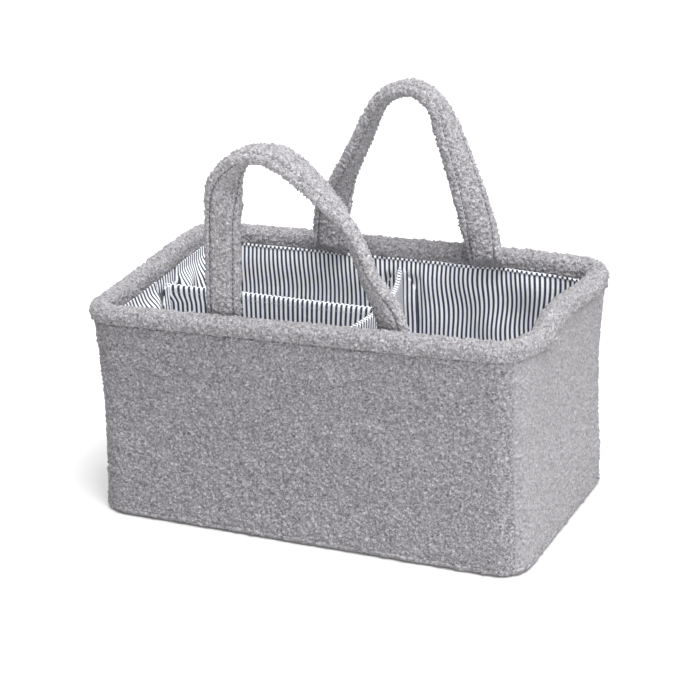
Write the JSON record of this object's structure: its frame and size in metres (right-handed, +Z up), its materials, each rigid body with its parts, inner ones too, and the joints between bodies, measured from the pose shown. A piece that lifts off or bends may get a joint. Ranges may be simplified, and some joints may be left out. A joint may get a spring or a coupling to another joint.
{
  "type": "storage basket",
  "caption": "Soft rectangular storage caddy in curly pile cloth with a striped lining, a folded rim band, two strap handles and a removable T-shaped divider.",
  "frame": {"origin": "middle of the underside, on the surface that the basket stands on", "axes": "+Z up, X along the long walls, -Y towards the front wall"},
  "size_m": [0.3812, 0.2192, 0.3441],
  "materials": {
    "pile_cloth": "curly pile cloth, matt, mid grey",
    "striped_cloth": "plain woven cotton with narrow dark and white stripes",
    "foam": "soft white padding",
    "board": "thin stiffening board",
    "tape": "woven tape"
  },
  "bodies": {
    "basket": {"outside_front": "pile_cloth", "outside_right": "pile_cloth", "outside_back": "pile_cloth", "outside_left": "pile_cloth", "outside_base": "pile_cloth", "rim_band": "pile_cloth", "foam_front": "foam", "foam_right": "foam", "foam_back": "foam", "foam_left": "foam", "base_board": "board", "base_foam": "foam", "lining_front": "striped_cloth", "lining_right": "striped_cloth", "lining_back": "striped_cloth", "lining_left": "striped_cloth", "lining_base": "striped_cloth", "loop_tape_front": "tape", "loop_tape_back": "tape", "loop_tape_left": "tape", "front_handle_end_left": "pile_cloth", "front_handle_end_right": "pile_cloth", "back_handle_end_left": "pile_cloth", "back_handle_end_right": "pile_cloth"},
    "front_handle": {"front_handle_cover": "pile_cloth", "front_handle_webbing": "tape"},
    "back_handle": {"back_handle_cover": "pile_cloth", "back_handle_webbing": "tape"},
    "divider": {"cross_divider_cover": "striped_cloth", "cross_divider_board": "board", "long_divider_cover": "striped_cloth", "long_divider_board": "board", "cross_divider_flange_front": "striped_cloth", "cross_divider_flange_back": "striped_cloth", "long_divider_flange_left": "striped_cloth", "hook_tape_front": "tape", "hook_tape_back": "tape", "hook_tape_left": "tape"}
  },
  "joints": [
    {"name": "front_handle_fold", "type": "hinge", "parent": "basket", "child": "front_handle", "pos_m": [0, -0.08451, 0.20425], "axis": [1, 0, 0], "range_deg": [-34, 80]},
    {"name": "back_handle_fold", "type": "hinge", "parent": "basket", "child": "back_handle", "pos_m": [0, 0.08451, 0.20425], "axis": [-1, 0, 0], "range_deg": [-34, 80]},
    {"name": "divider_lift", "type": "slide", "parent": "basket", "child": "divider", "axis": [0, 0, 1], "range_m": [0, 0.085]}
  ]
}
